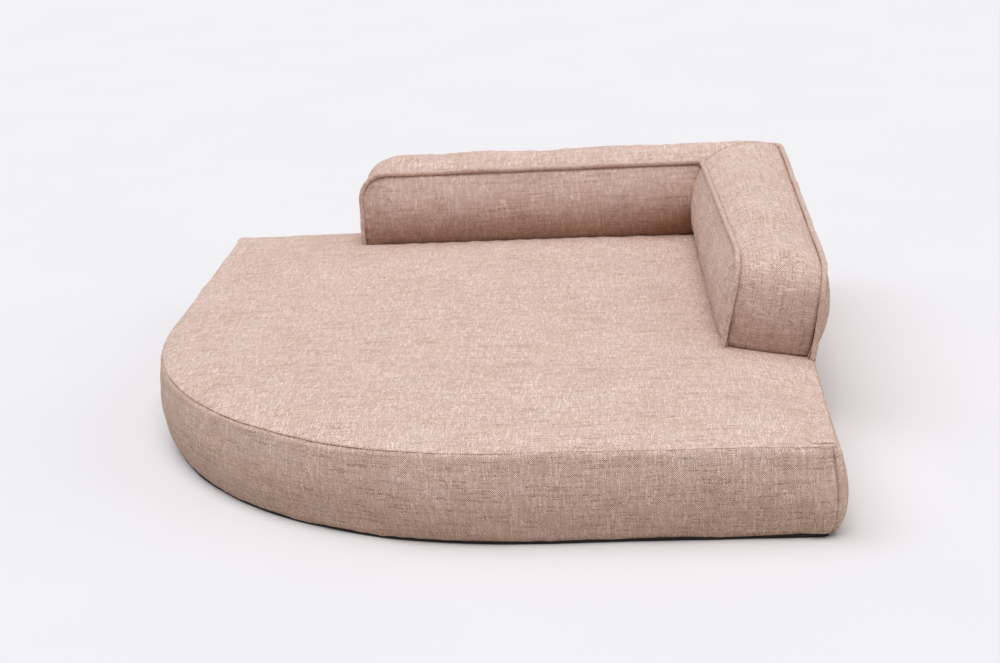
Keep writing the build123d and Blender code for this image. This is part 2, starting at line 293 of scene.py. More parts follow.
def add_panel(name, node, points, faces, weave, held, inside, painted_shade=0.0):
    """Keeps a cloth panel until all panels have settled; held is 1 where its seams hold it."""
    panels.append({
        "name": name,
        "node": node,
        "points": points.reshape(-1, 3),
        "faces": faces,
        "weave": weave,
        "held": np.clip(held.ravel(), 0, 1),
        "inside": inside,
        "painted_shade": np.broadcast_to(painted_shade, held.shape),
    })


def settle_panels():
    """Cloth simulation of all panels at once: each is held at its seams and loosens between them."""
    scene = bpy.context.scene
    trials = []
    for panel in panels:
        trial = new_mesh("trial", panel["points"], panel["faces"], None, panel["inside"])
        group = trial.vertex_groups.new(name="held")
        weights = np.round(panel["held"] * HELD_LEVELS) / HELD_LEVELS
        for weight in np.unique(weights):
            group.add(np.flatnonzero(weights == weight).tolist(), float(weight), "REPLACE")
        cloth = trial.modifiers.new("cloth", "CLOTH")
        for key, value in CLOTH_SETTINGS.items():
            setattr(cloth.settings, key, value)
        cloth.settings.effector_weights.gravity = 0
        cloth.point_cache.frame_start = 1
        cloth.point_cache.frame_end = SETTLE_FRAMES
        trials.append(trial)
    for number in range(1, SETTLE_FRAMES + 1):
        scene.frame_set(number)
    graph = bpy.context.evaluated_depsgraph_get()
    for panel, trial in zip(panels, trials):
        moved = np.empty(3 * len(trial.data.vertices), np.float32)
        trial.evaluated_get(graph).data.vertices.foreach_get("co", moved)
        change = moved.reshape(-1, 3).astype(float) / MM - panel["points"]
        length = np.maximum(np.linalg.norm(change, axis=1), 1e-6)
        share = np.tanh(length / SETTLE_MOST) * SETTLE_MOST / length * (1 - panel["held"])
        panel["points"] = panel["points"] + change * share[:, None]
    for trial in trials:
        mesh = trial.data
        bpy.data.objects.remove(trial)
        bpy.data.meshes.remove(mesh)
    scene.frame_set(1)


def make_panels():
    """Cloth pieces from the settled panels."""
    for panel in panels:
        shape = (panel[key] for key in ("name", "points", "faces", "weave", "inside", "painted_shade"))
        piece = new_mesh(*shape)
        thicken(piece)
        finish_piece(piece, panel["node"], "cover_cloth")


def arch(position, span, rise):
    """Height of a circular arc of a given rise, at a position along its span."""
    radius = (span**2 / 4 + rise**2) / (2 * rise)
    inside = np.maximum(radius**2 - (position - span / 2) ** 2, 0)
    return np.sqrt(inside) - radius + rise


# Mattress plan and forms


def mattress_outline():
    """Plan outline from the back left corner by the left edge, the round corner and the front, and back.

    It comes as points, outward normals, lengths along it and the number of each stretch's first point.
    """
    w, d, r, q = HALF_WIDTH, HALF_DEPTH, ROUND_RADIUS, SQUARE_RADIUS
    pieces = [
        ("arc", (-w + q, d - q), q, 135, 180),
        ("line", (-w, d - q), (-w, -d + r)),
        ("arc", (-w + r, -d + r), r, 180, 270),
        ("line", (-w + r, -d), (w - q, -d)),
        ("arc", (w - q, -d + q), q, 270, 305),
        ("arc", (w - q, -d + q), q, 305, 360),
        ("line", (w, -d + q), (w, d - q)),
        ("arc", (w - q, d - q), q, 0, 45),
        ("arc", (w - q, d - q), q, 45, 90),
        ("line", (w - q, d), (-w + q, d)),
        ("arc", (-w + q, d - q), q, 90, 135),
    ]
    points, normals, marks = [], [], [0]
    for kind, a, b, *rest in pieces:
        if kind == "line":
            length = math.dist(a, b)
            n = round(length / STEP)
            way = (np.array(b) - np.array(a)) / length
            points.append(np.array(a) + way * length * np.arange(n)[:, None] / n)
            normals.append(np.repeat([[way[1], -way[0]]], n, 0))
        else:
            start, end = np.radians(rest)
            n = max(5, round(b * (end - start) / STEP))
            angle = start + (end - start) * np.arange(n) / n
            ring = np.stack([np.cos(angle), np.sin(angle)], 1)
            points.append(np.array(a) + b * ring)
            normals.append(ring)
        marks.append(marks[-1] + n)
    points = np.concatenate(points)
    gaps = np.linalg.norm(np.roll(points, -1, 0) - points, axis=1)
    return points, np.concatenate(normals), np.concatenate([[0], np.cumsum(gaps)]), marks


PLAN, PLAN_OUT, PLAN_ALONG, MARKS = mattress_outline()
CORNER_BACK_LEFT = PLAN_ALONG[0]
CORNER_FRONT_RIGHT = PLAN_ALONG[MARKS[5]]
CORNER_BACK_RIGHT = PLAN_ALONG[MARKS[8]]
PERIMETER = PLAN_ALONG[-1]
EARS = ((CORNER_BACK_LEFT, 1.0), (PERIMETER, 1.0), (CORNER_FRONT_RIGHT, 0.6), (CORNER_BACK_RIGHT, 0.8))


def curve_through(y, places, values):
    """Polynomial through values at places."""
    total = np.zeros_like(y)
    for i, (place, value) in enumerate(zip(places, values)):
        term = np.full_like(y, value)
        for j, other in enumerate(places):
            if j != i:
                term = term * (y - other) / (place - other)
        total += term
    return total


def side_grow(z):
    """How far the mattress's side swells out at a height."""
    z = np.asarray(z, float)
    return curve_through(z, (0.0, SWELL_HEIGHT, TUCK_HEIGHT), (-FLOOR_TUCK, SIDE_SWELL, -TOP_TUCK))


def foot_line_x(y):
    """Foot of the right leg's inner face."""
    return HALF_WIDTH - RIGHT_THICKNESS - SPLAY * (y - RIGHT_START) / INNER_RUN


def top_height(x, y):
    """Height of the mattress top without its sewn edge."""
    side = HALF_WIDTH + TOP_REACH
    places = (-HALF_DEPTH - TOP_REACH, RIGHT_START, HALF_DEPTH - RIGHT_LENGTH / 2, HALF_DEPTH + TOP_REACH)
    hinge = foot_line_x(y)
    crown = np.maximum(curve_through(y, places, [EDGE_CROWN, CROWN, CROWN, EDGE_CROWN]), LEAST_CROWN)
    sink = curve_through(y, places, [0, EDGE_SINK, EDGE_SINK / 2, 0])
    inside = HEIGHT + arch(np.clip(x + side, 0, None), hinge + side, crown)
    outside = HEIGHT - sink * (x - hinge) / (HALF_WIDTH - hinge)
    blend = smooth(-18, 18, x - hinge)
    return inside * (1 - blend) + outside * blend


def seam_line():
    """Top seam of the mattress cover in space, one point for each point of the outline."""
    along = PLAN_ALONG[:-1]
    ear = sum(share * hump(along, corner, 9) for corner, share in EARS)
    left = smooth(80, -120, PLAN[:, 0])
    level = top_height(*PLAN.T) - (2.0 + 2.8 * left)
    loose = 0.4 * waves(along[:, None], 110, 11)
    out = side_grow(np.minimum(level, HEIGHT)) - 1.1 + 3.6 * ear + 0.4 * loose
    return np.column_stack([PLAN + PLAN_OUT * out[:, None], level + loose + 2.6 * ear])


SEAM = seam_line()


def distance_to(points, line, chunk=4000):
    """Distance in plan from each point to a closed line of points, and the nearest place along it."""
    way = np.roll(line, -1, 0) - line
    square = (way**2).sum(1)
    best, where = [], []
    for i in range(0, len(points), chunk):
        p = points[i : i + chunk, None, :]
        t = np.clip(((p - line) * way).sum(-1) / square, 0, 1)
        gap = np.linalg.norm(p - (line + way * t[..., None]), axis=-1)
        nearest = gap.argmin(1)
        rows = np.arange(len(gap))
        best.append(gap[rows, nearest])
        where.append(nearest + t[rows, nearest])
    return np.concatenate(best), np.concatenate(where)


def fill_outline(outline, ring_gaps, spacing):
    """Triangles in a mattress-shaped outline, with rings of points along its edge and a lattice inside."""
    rings = [outline]
    base = ((outline - PLAN) * PLAN_OUT).sum(1)
    offset = 0.0
    for gap in ring_gaps:
        offset += gap
        inner = PLAN + PLAN_OUT * (base - offset)[:, None]
        gaps, _ = distance_to(inner, outline)
        rings.append(inner[gaps > 0.93 * offset])
    lattice_x = np.arange(-HALF_WIDTH, HALF_WIDTH, spacing)
    lattice_y = np.arange(-HALF_DEPTH, HALF_DEPTH, spacing * math.sqrt(3) / 2)
    gx, gy = np.meshgrid(lattice_x, lattice_y)
    gx = gx + (np.arange(len(lattice_y)) % 2)[:, None] * spacing / 2
    lattice = np.column_stack([gx.ravel(), gy.ravel()])
    gaps, _ = distance_to(lattice, outline)
    centre = np.array([-HALF_WIDTH + ROUND_RADIUS, -HALF_DEPTH + ROUND_RADIUS])
    corner = (lattice < centre).all(1)
    inside = ~corner | (np.linalg.norm(lattice - centre, axis=1) < ROUND_RADIUS)
    lattice = lattice[inside & (gaps > offset + 0.45 * spacing)]
    n = len(outline)
    edges = [(i, (i + 1) % n) for i in range(n)]
    points = [Vector(p) for p in np.concatenate(rings + [lattice]) * MM]
    found = delaunay_2d_cdt(points, edges, [list(range(n))], 1, 1e-7)
    return np.array([v[:] for v in found[0]]) / MM, found[2]


def pressed(x, y):
    """Where the mattress's top seam is pressed flat: along the straight part of its front."""
    return smooth(-150, 60, x) * smooth(-HALF_DEPTH + 40, -HALF_DEPTH + 20, y)


# Gaps between the rings of points inside the top's seam
TOP_RINGS = (0.4, 0.7, 1.0, 1.3, 1.6, 2.0, 2.6, 3.2, 3.6, 4.0)


def mattress_top():
    """Top panel: crowned cloth that rolls down into its seam."""
    outline = SEAM[:, :2]
    n = len(outline)
    plan, faces = fill_outline(outline, TOP_RINGS, 1.6 * STEP)
    depth, where = distance_to(plan, outline)
    x, y = plan.T
    index = np.minimum(where.astype(int), n - 1)
    share = where - index
    edge_z = SEAM[index, 2] * (1 - share) + SEAM[(index + 1) % n, 2] * share
    along = np.interp(where, np.arange(n + 1), PLAN_ALONG)
    # The roll of the edge is larger towards the front left
    left = smooth(80, -120, x) * smooth(HALF_DEPTH - 60, HALF_DEPTH - 300, y)
    rise = np.sqrt(np.clip(1 - (1 - np.clip(depth / (7 + 8 * left), 0, 1)) ** 2, 0, 1))
    surface = top_height(x, y) + (0.8 + 2.2 * left) * smooth(0, 30, depth)
    z = edge_z + (surface - edge_z) * (0.85 * rise + 0.15 * smooth(0, 34, depth))
    beside = np.maximum(foot_line_x(y) - x, RIGHT_START - y)
    behind = np.maximum(INNER_BACK - y, BACK_START - x)
    leg_gap = np.clip(np.minimum(beside, behind), 0, None)
    calm = smooth(5, 70, leg_gap) * smooth(5, 60, depth)
    z += calm * (0.8 * waves(plan, 230, 3) + 0.3 * waves(plan, 95, 4))
    z += 0.6 * smooth(2, 12, depth) * puckers(along, depth, 34, 5)
    z += 0.25 * smooth(0, 3, depth) * puckers(along, depth, 11, 6)
    # Under the legs the cloth is pressed down
    under_right = smooth(-6, 6, x - foot_line_x(y)) * smooth(-6, 6, y - RIGHT_START)
    under_back = smooth(-6, 6, y - INNER_BACK) * smooth(-6, 6, x - BACK_START)
    under = np.maximum(under_right, under_back)
    z -= 1.4 * under
    # A small fold opens beside the front right corner
    mouth = smooth(HALF_WIDTH - 26, HALF_WIDTH - 16, x) * hump(y, -HALF_DEPTH + 8.5, 2.3)
    z -= 3.2 * mouth
    held = np.maximum(smooth(30, 12, depth), under)
    # In the fold the distance to the seam is set to nought, so the painted seam shade fills it; the pressed
    # front seam gets less of it
    weave = stacked(x, y, (depth + pressed(x, y)) * (1 - mouth))
    # Painted shade: the top is painted darker beside the bolster's legs and in the fold at the front right
    # corner
    painted_shade = np.maximum(0.25 * fade(leg_gap, 30), np.minimum(2.0 * mouth, 1.0))
    node = "mattress_top_panel"
    add_panel(f"{node}_cloth", node, stacked(x, y, z), faces, weave, held, (0, 0, 0), painted_shade)


def zip_open(x, zip_ends):
    """Share by which the cloth is open over a zip, at a place along it."""
    start, end = zip_ends
    return smooth(start, start + 6, x) * smooth(end, end - 6, x)


def zip_edge(x, gap, opening, zip_ends, deep):
    """Form of the cloth beside a zip: a stitched fold along it, a tuck at its ends, a plain seam past it."""
    edge_gap = gap - opening
    folded = 0.5 * smooth(6.5, 4.5, edge_gap) - 0.5 * hump(edge_gap, 5, 0.7)
    beside = np.where(opening < 1, -0.9 * fade(edge_gap, 1.5), folded)
    start, end = zip_ends
    at_start = smooth(start - 26, start - 19, x) * smooth(start + 16, start + 8, x)
    at_end = smooth(end + 26, end + 19, x) * smooth(end - 16, end - 8, x)
    return beside - deep * np.maximum(at_start, at_end) * smooth(13, 6, gap)


def band_piece(node, start, end, part="whole", seed=0):
    """Panel of the mattress's side; the back is in an upper and a lower part, with the zip between."""
    index = np.arange(start, end + 1) % len(PLAN)
    plan, out, seam = PLAN[index], PLAN_OUT[index], SEAM[index]
    along = PLAN_ALONG[index] + PERIMETER * (np.arange(start, end + 1) >= len(PLAN))
    past = along - CORNER_FRONT_RIGHT
    top = seam[:, 2]
    bottom = 2.6 + 0.5 * waves(along[:, None], 150, 21) + 1.2 * hump(past, -350, 45)
    bottom += 1.4 * smooth(-450, -150, past) * smooth(60, 0, past) + 1.4 * hump(past, 0, 16)
    opening = ZIP_OPENING * zip_open(plan[:, 0], MATTRESS_ZIP)
    low = SWELL_HEIGHT + opening if part == "upper" else bottom
    high = SWELL_HEIGHT - opening if part == "lower" else top
    tall = HEIGHT if part == "whole" else HEIGHT / 2
    z = low + (high - low) * (steps(tall, STEP, True, True) / tall)[:, None]
    depth = top - z
    foot = z - bottom
    ends = np.minimum(along - along[0], along[-1] - along) + 0 * z
    zip_gap = np.abs(z - SWELL_HEIGHT)
    # The side's swell, the roll into both seams, and the fuller front right corner
    end_out = ((seam[:, :2] - plan) * out).sum(1)
    flat_seam = pressed(*plan.T)
    grow = side_grow(z) + (end_out - side_grow(top)) * fade(depth, 3.5)
    grow -= (0.6 - 0.45 * flat_seam) * fade(depth, 1.0)
    grow += 6.0 * hump(past, 20, 80) * hump(z, 46, 42) * smooth(0, 8, depth)
    grow += 0.5 * smooth(8, 5, depth) * smooth(0, 3, depth) - 2.2 * fade(foot, 3.0)
    if part == "whole":
        # The corner's upright seam with the folds on both sides of it
        low_share = hump(z, 20, 30)
        grow -= 0.8 * fade(np.abs(past), 1.3)
        grow += (1.0 + 2.2 * low_share) * hump(past, 7, 6) * smooth(0, 10, depth)
        grow += low_share * (1.6 * hump(past, -9, 8) - 1.8 * hump(past, -30, 9))
    free = 1.0 if part == "whole" else smooth(16, 32, zip_gap)
    loose = creases(along, z, (120, 0.45, 0.9, 31 + seed), (42, 0.5, 0.25, 41 + seed))
    grow += free * smooth(0, 25, depth) * smooth(0, 20, foot) * loose
    grow += 0.25 * puckers(along, depth, 13, 51 + seed) + 0.3 * puckers(along, foot, 16, 61 + seed)
    held = hold((depth, 22, 9), (foot, 18, 7), (ends, 20, 6))
    if part != "whole":
        grow += zip_edge(plan[:, 0], zip_gap, opening, MATTRESS_ZIP, 1.8)
        held = np.maximum(held, smooth(26, 12, zip_gap))
    points = np.concatenate([plan + out * grow[..., None], z[..., None]], -1)
    # Distance to the nearest seam, for the painted seam shade; the pressed stretch of the top seam gets less
    # of it
    seam_gap = np.minimum(np.minimum(depth + flat_seam, foot), ends + 1.0)
    inside = (*(plan.mean(0) - out.mean(0) * 300), SWELL_HEIGHT)
    weave = stacked(along, z, seam_gap)
    add_panel(f"{node}_cloth", node, points, grid_faces(*z.shape), weave, held, inside)


def slab_piece(name, rings, inside, ring_gaps, spacing, cap_level):
    """Closed slab with the mattress's plan, from rings of points; cap_level gives both faces' heights."""
    wall = np.array(rings)
    sheets = []
    for ring, is_top in ((wall[0], False), (wall[-1], True)):
        plan, faces = fill_outline(ring[:, :2], ring_gaps, spacing)
        depth, where = distance_to(plan, ring[:, :2])
        edge_z = ring[np.round(where).astype(int) % len(ring), 2]
        sheets.append((stacked(*plan.T, cap_level(plan, depth, edge_z, is_top)), faces))
    return closed_from(name, sheets + [(wall, grid_faces(*wall.shape[:2], True))], inside)


def mattress_foam_piece(inset=6, rounding=8):
    """Foam slab inside the mattress cover, with softly rounded edges."""
    flat = np.ones(len(PLAN))
    edge = [
        (rounding * (1 - math.cos(turn)), inset + rounding * (1 - math.sin(turn)))
        for turn in np.linspace(0, math.pi / 2, 5)
    ]
    rings = [((3 + up) * flat, gap) for up, gap in edge]
    rings += [(height * flat, inset) for height in (30, 50, 70)]
    rings += [(SEAM[:, 2] - (5 + up), gap) for up, gap in reversed(edge)]
    wall = [np.column_stack([PLAN + PLAN_OUT * (side_grow(z) - gap)[:, None], z]) for z, gap in rings]

    def level(plan, depth, edge_z, is_top):
        if is_top:
            return edge_z + (top_height(*plan.T) - inset - edge_z) * smooth(0, 25, depth)
        return edge_z

    thing = slab_piece("mattress_foam_block", wall, (0, 0, SWELL_HEIGHT), (8,), 22, level)
    finish_piece(thing, "mattress_foam", "foam")


# Edge of the base cloth: height over the floor and how far it is drawn in
BASE_CLOTH_EDGE = ((0.1, 1.2), (0.3, 0.3), (3.0, 0.0), (5.6, 0.2), (6.2, 1.4))


def base_cloth_piece():
    """Black cloth under the mattress, whose edge shows as a thin line at the floor."""
    loose = 0.4 * waves(PLAN_ALONG[:-1, None], 120, 22)
    edge = PLAN + PLAN_OUT * (loose - 6.2)[:, None]
    wall = [np.column_stack([edge - PLAN_OUT * gap, np.full(len(PLAN), z)]) for z, gap in BASE_CLOTH_EDGE]

    def level(plan, depth, edge_z, is_top):
        sag = 4.6 if is_top else 0.0
        return edge_z + smooth(0, 10, depth) * (0.02 * waves(plan, 60, 23) - sag)

    thing = slab_piece("mattress_base_cloth_sheet", wall, (0, 0, 1.5), (6, 6), 18, level)
    finish_piece(thing, "mattress_base_cloth", "base_cloth")


# Bolster forms


def back_corners(run):
    """Foot and head of the back leg's inner face, and head and foot of its outer face."""
    corners = ((INNER_BACK, HEIGHT), (INNER_BACK, HEAD), (HALF_DEPTH, HEAD), (HALF_DEPTH, HEIGHT))
    return [stacked(BACK_START + run, y, z) for y, z in corners]


def right_corners(run):
    """Foot and head of the right leg's inner face, and head and foot of its outer face."""
    y = RIGHT_START + run
    foot_x = foot_line_x(y)
    inner_lean = FREE_LEAN + (INNER_CORNER_LEAN - FREE_LEAN) * run / INNER_RUN
    outer_lean = OUTER_FREE_LEAN + (OUTER_CORNER_LEAN - OUTER_FREE_LEAN) * run / RIGHT_LENGTH
    sink = EDGE_SINK * (1 - run / RIGHT_LENGTH)
    inner = ((foot_x, HEIGHT), (foot_x + inner_lean, HEAD))
    outer = ((HALF_WIDTH + outer_lean, HEAD - sink), (HALF_WIDTH, HEIGHT - sink))
    return [stacked(x, y, z) for x, z in inner + outer]


class Leg(NamedTuple):
    """One leg of the bolster: its corners at a run, its way outwards, its way along and its sizes."""

    label: str
    corners: Callable
    across: np.ndarray
    ahead: np.ndarray
    length: float
    thickness: float
    seed: int

    def edge(self, run, rise, side):
        """Point of a face before it swells; side 0 inner, 1 outer."""
        foot, head = (self.corners(run)[i] for i in ((0, 1), (3, 2))[side])
        return foot + (head - foot) * (rise / BOLSTER_HEIGHT)[..., None]

    def out(self, side):
        """Way in which a face looks."""
        return self.across * (-1, 1)[side]

    def middle(self):
        """A point inside the leg."""
        return np.mean(self.corners(np.array(self.length / 2)), axis=0)


ALONG_X, ALONG_Y = np.array([1.0, 0, 0]), np.array([0, 1.0, 0])
BACK_LEG = Leg("back", back_corners, ALONG_Y, ALONG_X, BACK_LENGTH, BACK_THICKNESS, 100)
RIGHT_LEG = Leg("right", right_corners, ALONG_X, ALONG_Y, RIGHT_LENGTH, RIGHT_THICKNESS, 200)
INNER_CORNER = right_corners(np.array(INNER_RUN))[1]
OUTER_CORNER = right_corners(np.array(RIGHT_LENGTH))[2]

# How far each leg's faces swell
FACE_SWELL = {"back": (14.0, 6.0), "right": (11.0, 14.0)}

# Share of the crown at the foot and the turn of each leg's free end, and the runs between which it fills
BAND_SWELL = {"back": (0.12, 0.42, 12, 52), "right": (0.28, 0.50, 20, 95)}

# Level folds at the back leg's free end: height, size, reach and tilt
END_FOLDS = (
    (14, 1.5, 26, 0.05),
    (28, 2.0, 36, -0.10),
    (42, 1.7, 32, 0.06),
    (56, 1.4, 26, -0.04),
    (70, 1.0, 22, 0.10),
)

# Drag folds on the right leg: run, size and slant
DRAG_FOLDS = ((505, 1.1, 26), (478, 1.5, 30), (450, 1.2, 34), (424, 0.8, 30))


def round_outer_corner(points):
    """Rounds the bolster's upright outer corner in plan."""
    r = OUTER_CORNER_RADIUS
    centre = np.array([OUTER_CORNER[0] - r, HALF_DEPTH - r])
    q = points[..., :2] - centre
    length = np.maximum(np.linalg.norm(q, axis=-1), 1e-6)
    share = np.where((q > 0).all(-1), q.max(-1) / length, 1)[..., None]
    made = points.copy()
    made[..., :2] = centre + q * share
    return made


def mitre_run(leg, share):
    """Run at which the mitred seam crosses a leg's top, at a share of its width."""
    spot = INNER_CORNER + (OUTER_CORNER - INNER_CORNER) * share[..., None]
    return spot[..., 0] - BACK_START if leg is BACK_LEG else spot[..., 1] - RIGHT_START


def corner_run(leg, side, rise):
    """Run at which a leg's face meets the other leg's, at a height."""
    if leg is RIGHT_LEG:
        return np.full_like(rise, (INNER_RUN, RIGHT_LENGTH)[side])
    lean = (INNER_CORNER_LEAN, OUTER_CORNER_LEAN)[side]
    return (BACK_LENGTH - RIGHT_THICKNESS - SPLAY, BACK_LENGTH)[side] + lean * rise / BOLSTER_HEIGHT


def end_curve(count):
    """Runs across the rounded end, closer together towards its front."""
    return END_RADIUS * (1 - np.cos(np.linspace(0, math.pi / 2, count)))


def fitted(leg, run, limit):
    """Run stretched past the rounded end, so that the leg's length comes to the limit."""
    r = END_RADIUS
    return np.where(run > r, r + (run - r) * (limit - r) / (leg.length - r), run)


def edge_rise(run):
    """Height of the piped edge over a leg's foot, at a run."""
    r = END_RADIUS
    return BOLSTER_HEIGHT - r + np.sqrt(np.maximum(r**2 - (r - np.minimum(run, r)) ** 2, 0))


def edge_depth(run, rise):
    """Distance of a face's point from its piped edge."""
    r = END_RADIUS
    in_corner = (run < r) & (rise > BOLSTER_HEIGHT - r)
    round_gap = r - np.hypot(r - run, rise - BOLSTER_HEIGHT + r)
    straight = np.minimum(run, BOLSTER_HEIGHT - rise)
    return np.maximum(np.where(in_corner, round_gap, straight), 0)


def edge_place(run, rise):
    """Length along the piped edge to the place nearest a face's point, from the foot of the free end."""
    r = END_RADIUS
    angle = np.arctan2(np.maximum(rise - BOLSTER_HEIGHT + r, 0), np.maximum(r - run, 1e-6))
    up = np.minimum(rise, BOLSTER_HEIGHT - r)
    along_top = np.maximum(run - r, 0)
    return np.where(run < r, up + r * angle, BOLSTER_HEIGHT - r + r * math.pi / 2 + along_top)


def piped_edge(up, angle, far):
    """Run, rise and turn along the piped edge, from heights, angles and runs on its three stretches."""
    r = END_RADIUS
    run = np.concatenate([0 * up, r * (1 - np.cos(angle)), far])
    rise = np.concatenate([up, BOLSTER_HEIGHT - r + r * np.sin(angle), BOLSTER_HEIGHT + 0 * far])
    turn = np.concatenate([0 * up, angle, math.pi / 2 + 0 * far])
    return run, rise, turn


def band_way(leg, turn):
    """Way in which the top band looks, from straight out of the free end to straight up."""
    return -leg.ahead * np.cos(turn)[..., None] + UP * np.sin(turn)[..., None]


def face_swell(leg, side, run, rise):
    """How far a face stands out from its flat form: most above its middle, and least at the free end."""
    share = np.clip(rise / BOLSTER_HEIGHT, 0, 1)
    bulge = np.maximum(np.sqrt(1.06 - np.abs(2 * share**0.9 - 1) ** 1.5) - 0.245, 0) / 0.785
    reach = 22 if (leg is RIGHT_LEG and side == 1) else 60
    return FACE_SWELL[leg.label][side] * bulge * (0.25 + 0.75 * smooth(0, reach, run))


def face_painted_shade(leg, side, rise, corner_gap):
    """Painted shade on a leg's face: its cloth is painted darker towards its foot, and on the inner faces
    towards the bolster's corner.
    """
    if side == 1:
        return 0.15 * smooth(40, 0, rise)
    low = smooth(78, 6, rise)
    if leg is RIGHT_LEG:
        return 0.25 * low * fade(corner_gap, 40)
    return 0.70 * low + (0.12 + 0.5 * low) * fade(corner_gap, 45)


def face_piece(leg, side, name, node, part="whole"):
    """Inner or outer panel of a leg, swollen between its piping and its foot; the zip parts the back one."""
    r = END_RADIUS
    runs = np.concatenate([end_curve(15), r + steps(leg.length - r, STEP, False, True)[1:]])
    above_zip = BOLSTER_HEIGHT - BOLSTER_ZIP_RISE
    tall = {"whole": BOLSTER_HEIGHT, "upper": above_zip, "lower": BOLSTER_ZIP_RISE}[part]
    run, share = np.meshgrid(runs, steps(tall, STEP, True, True) / tall)
    opening = ZIP_OPENING * zip_open(BACK_START + run, BOLSTER_ZIP)
    low = BOLSTER_ZIP_RISE + opening if part == "upper" else 0 * run
    high = BOLSTER_ZIP_RISE - opening if part == "lower" else edge_rise(run)
    rise = low + (high - low) * share
    limit = corner_run(leg, side, rise)
    run = fitted(leg, run, limit)
    depth = edge_depth(run, rise)
    corner_gap = limit - run
    zip_gap = np.abs(rise - BOLSTER_ZIP_RISE)
    seed = leg.seed + 10 * side
    out = face_swell(leg, side, run, rise) - 3.4 * fade(depth, 1.9) - 2.0 * fade(rise, 3.0)
    soft = smooth(0, 22, depth) * smooth(0, 18, rise)
    if part != "whole":
        soft = soft * smooth(12, 30, zip_gap)
    out += soft * creases(run, rise, (110, 0.55, 0.8, seed + 1), (38, 0.6, 0.25, seed + 2))
    out += 0.4 * smooth(0, 4, depth) * puckers(edge_place(run, rise), depth, 14, seed + 3)
    out += 0.4 * puckers(run, rise, 18, seed + 4)
    if leg is BACK_LEG and side == 0:
        for level, deep, reach, tilt in END_FOLDS:
            out += deep * hump(rise, level + tilt * run, 3.6) * smooth(reach, 2, run)
    held = hold((depth, 20, 7), (rise, 16, 6), (corner_gap, 20, 6))
    if part != "whole":
        out += zip_edge(BACK_START + run, zip_gap, opening, BOLSTER_ZIP, 3.4)
        held = np.maximum(held, smooth(22, 10, zip_gap))
    if side == 0:
        out -= 2.5 * fade(corner_gap, 5)
    else:
        out *= smooth(0, 45, corner_gap)
    points = leg.edge(run, rise, side) + leg.out(side) * out[..., None]
    points[..., 2] -= 1.2 * fade(rise, 2)
    points = round_outer_corner(points)
    weave = stacked(run, rise, np.minimum(depth, rise))
    # Painted shade, darker low on the face and deep in the bolster's corner
    painted_shade = face_painted_shade(leg, side, rise, corner_gap)
    add_panel(name, node, points, grid_faces(*run.shape), weave, held, leg.middle(), painted_shade)


def top_folds(leg, run, share):
    """The photographed dip in the back leg's crown, and the drag folds along the right leg's outer piping."""
    if leg is BACK_LEG:
        return -2.2 * hump(run, 268, 30) * smooth(0.1, 0.5, share) * smooth(1.0, 0.6, share)
    near_piping = smooth(0.45, 0.85, share) * smooth(1.0, 0.93, share)
    folds = (deep * hump(run, middle - slant * (1 - share), 6) for middle, deep, slant in DRAG_FOLDS)
    return near_piping * sum(folds)


def top_band(leg, name, node):
    """Band that covers a leg's top and free end, crowned between its two rows of piping."""
    width = leg.thickness
    across = steps(width, STEP, True, True) / width
    up = steps(BOLSTER_HEIGHT - END_RADIUS, STEP, True, False)
    far = END_RADIUS + steps(leg.length - END_RADIUS, STEP, False, True)[1:]
    path = piped_edge(up, np.linspace(0, math.pi / 2, 18)[1:], far)
    lengths = np.concatenate([[0], np.cumsum(np.hypot(np.diff(path[0]), np.diff(path[1])))])
    run, rise, turn, along = (np.meshgrid(v, across, indexing="ij")[0] for v in (*path, lengths))
    share = np.broadcast_to(across, run.shape)
    limit = mitre_run(leg, share)
    cut = fitted(leg, run, limit)
    along = along + cut - run
    run = cut
    place = share * width
    depth = np.minimum(share, 1 - share) * width
    mitre_gap = np.maximum(limit - run, 0) * MITRE_SLANT
    at_foot, at_turn, near, far = BAND_SWELL[leg.label]
    swell = at_foot + (at_turn - at_foot) * smooth(0.2, 1.5, turn) + (1 - at_turn) * smooth(near, far, run)
    lift = swell * arch(place, width, BOLSTER_CROWN)
    lift -= 4.2 * fade(depth, 1.9) + 1.6 * fade(mitre_gap, 2.2)
    lift -= 2.4 * fade(along, 3.0) + 6.0 * smooth(52, 0, along)
    seed = leg.seed + 50
    soft = smooth(0, 25, depth) * smooth(0, 20, along) * smooth(0, 20, mitre_gap)
    lift += soft * creases(along, place, (150, 1.0, 0.7, seed + 1), (44, 0.6, 0.2, seed + 2))
    other_side = 3000 * (share > 0.5)
    lift += 0.45 * smooth(0, 4, depth) * puckers(along + other_side, depth, 15, seed + 3)
    lift += top_folds(leg, run, share)
    inner = leg.edge(run, rise, 0)
    spot = inner + (leg.edge(run, rise, 1) - inner) * share[..., None]
    points = round_outer_corner(spot + band_way(leg, turn) * lift[..., None])
    held = hold((depth, 20, 7), (along, 16, 6), (mitre_gap, 18, 6))
    weave = stacked(along, place, np.minimum(depth, along))
    # Painted shade: the band is painted darker near the foot of its free end
    painted_shade = 0.30 * smooth(62, 4, along)
    add_panel(name, node, points, grid_faces(*run.shape), weave, held, leg.middle(), painted_shade)


def bottom_piece(leg, name, node):
    """Flat cloth under a leg, lying on the mattress."""
    across = 0.05 + 0.9 * steps(leg.thickness, 2 * STEP) / leg.thickness
    run, share = np.meshgrid(12 + steps(leg.length - 16, 2 * STEP), across, indexing="ij")
    run = run * (mitre_run(leg, share) - 3) / leg.length
    foot_inner, _, _, foot_outer = leg.corners(run)
    points = foot_inner + (foot_outer - foot_inner) * share[..., None]
    points[..., 2] += 2.0 + 0.15 * waves(points[..., :2], 70, leg.seed + 90)
    weave = stacked(run, share * leg.thickness, SEAMLESS)
    below = leg.middle() - 1000 * UP
    piece = new_mesh(name, round_outer_corner(points), grid_faces(*run.shape), weave, below)
    thicken(piece)
    finish_piece(piece, node, "cover_cloth")


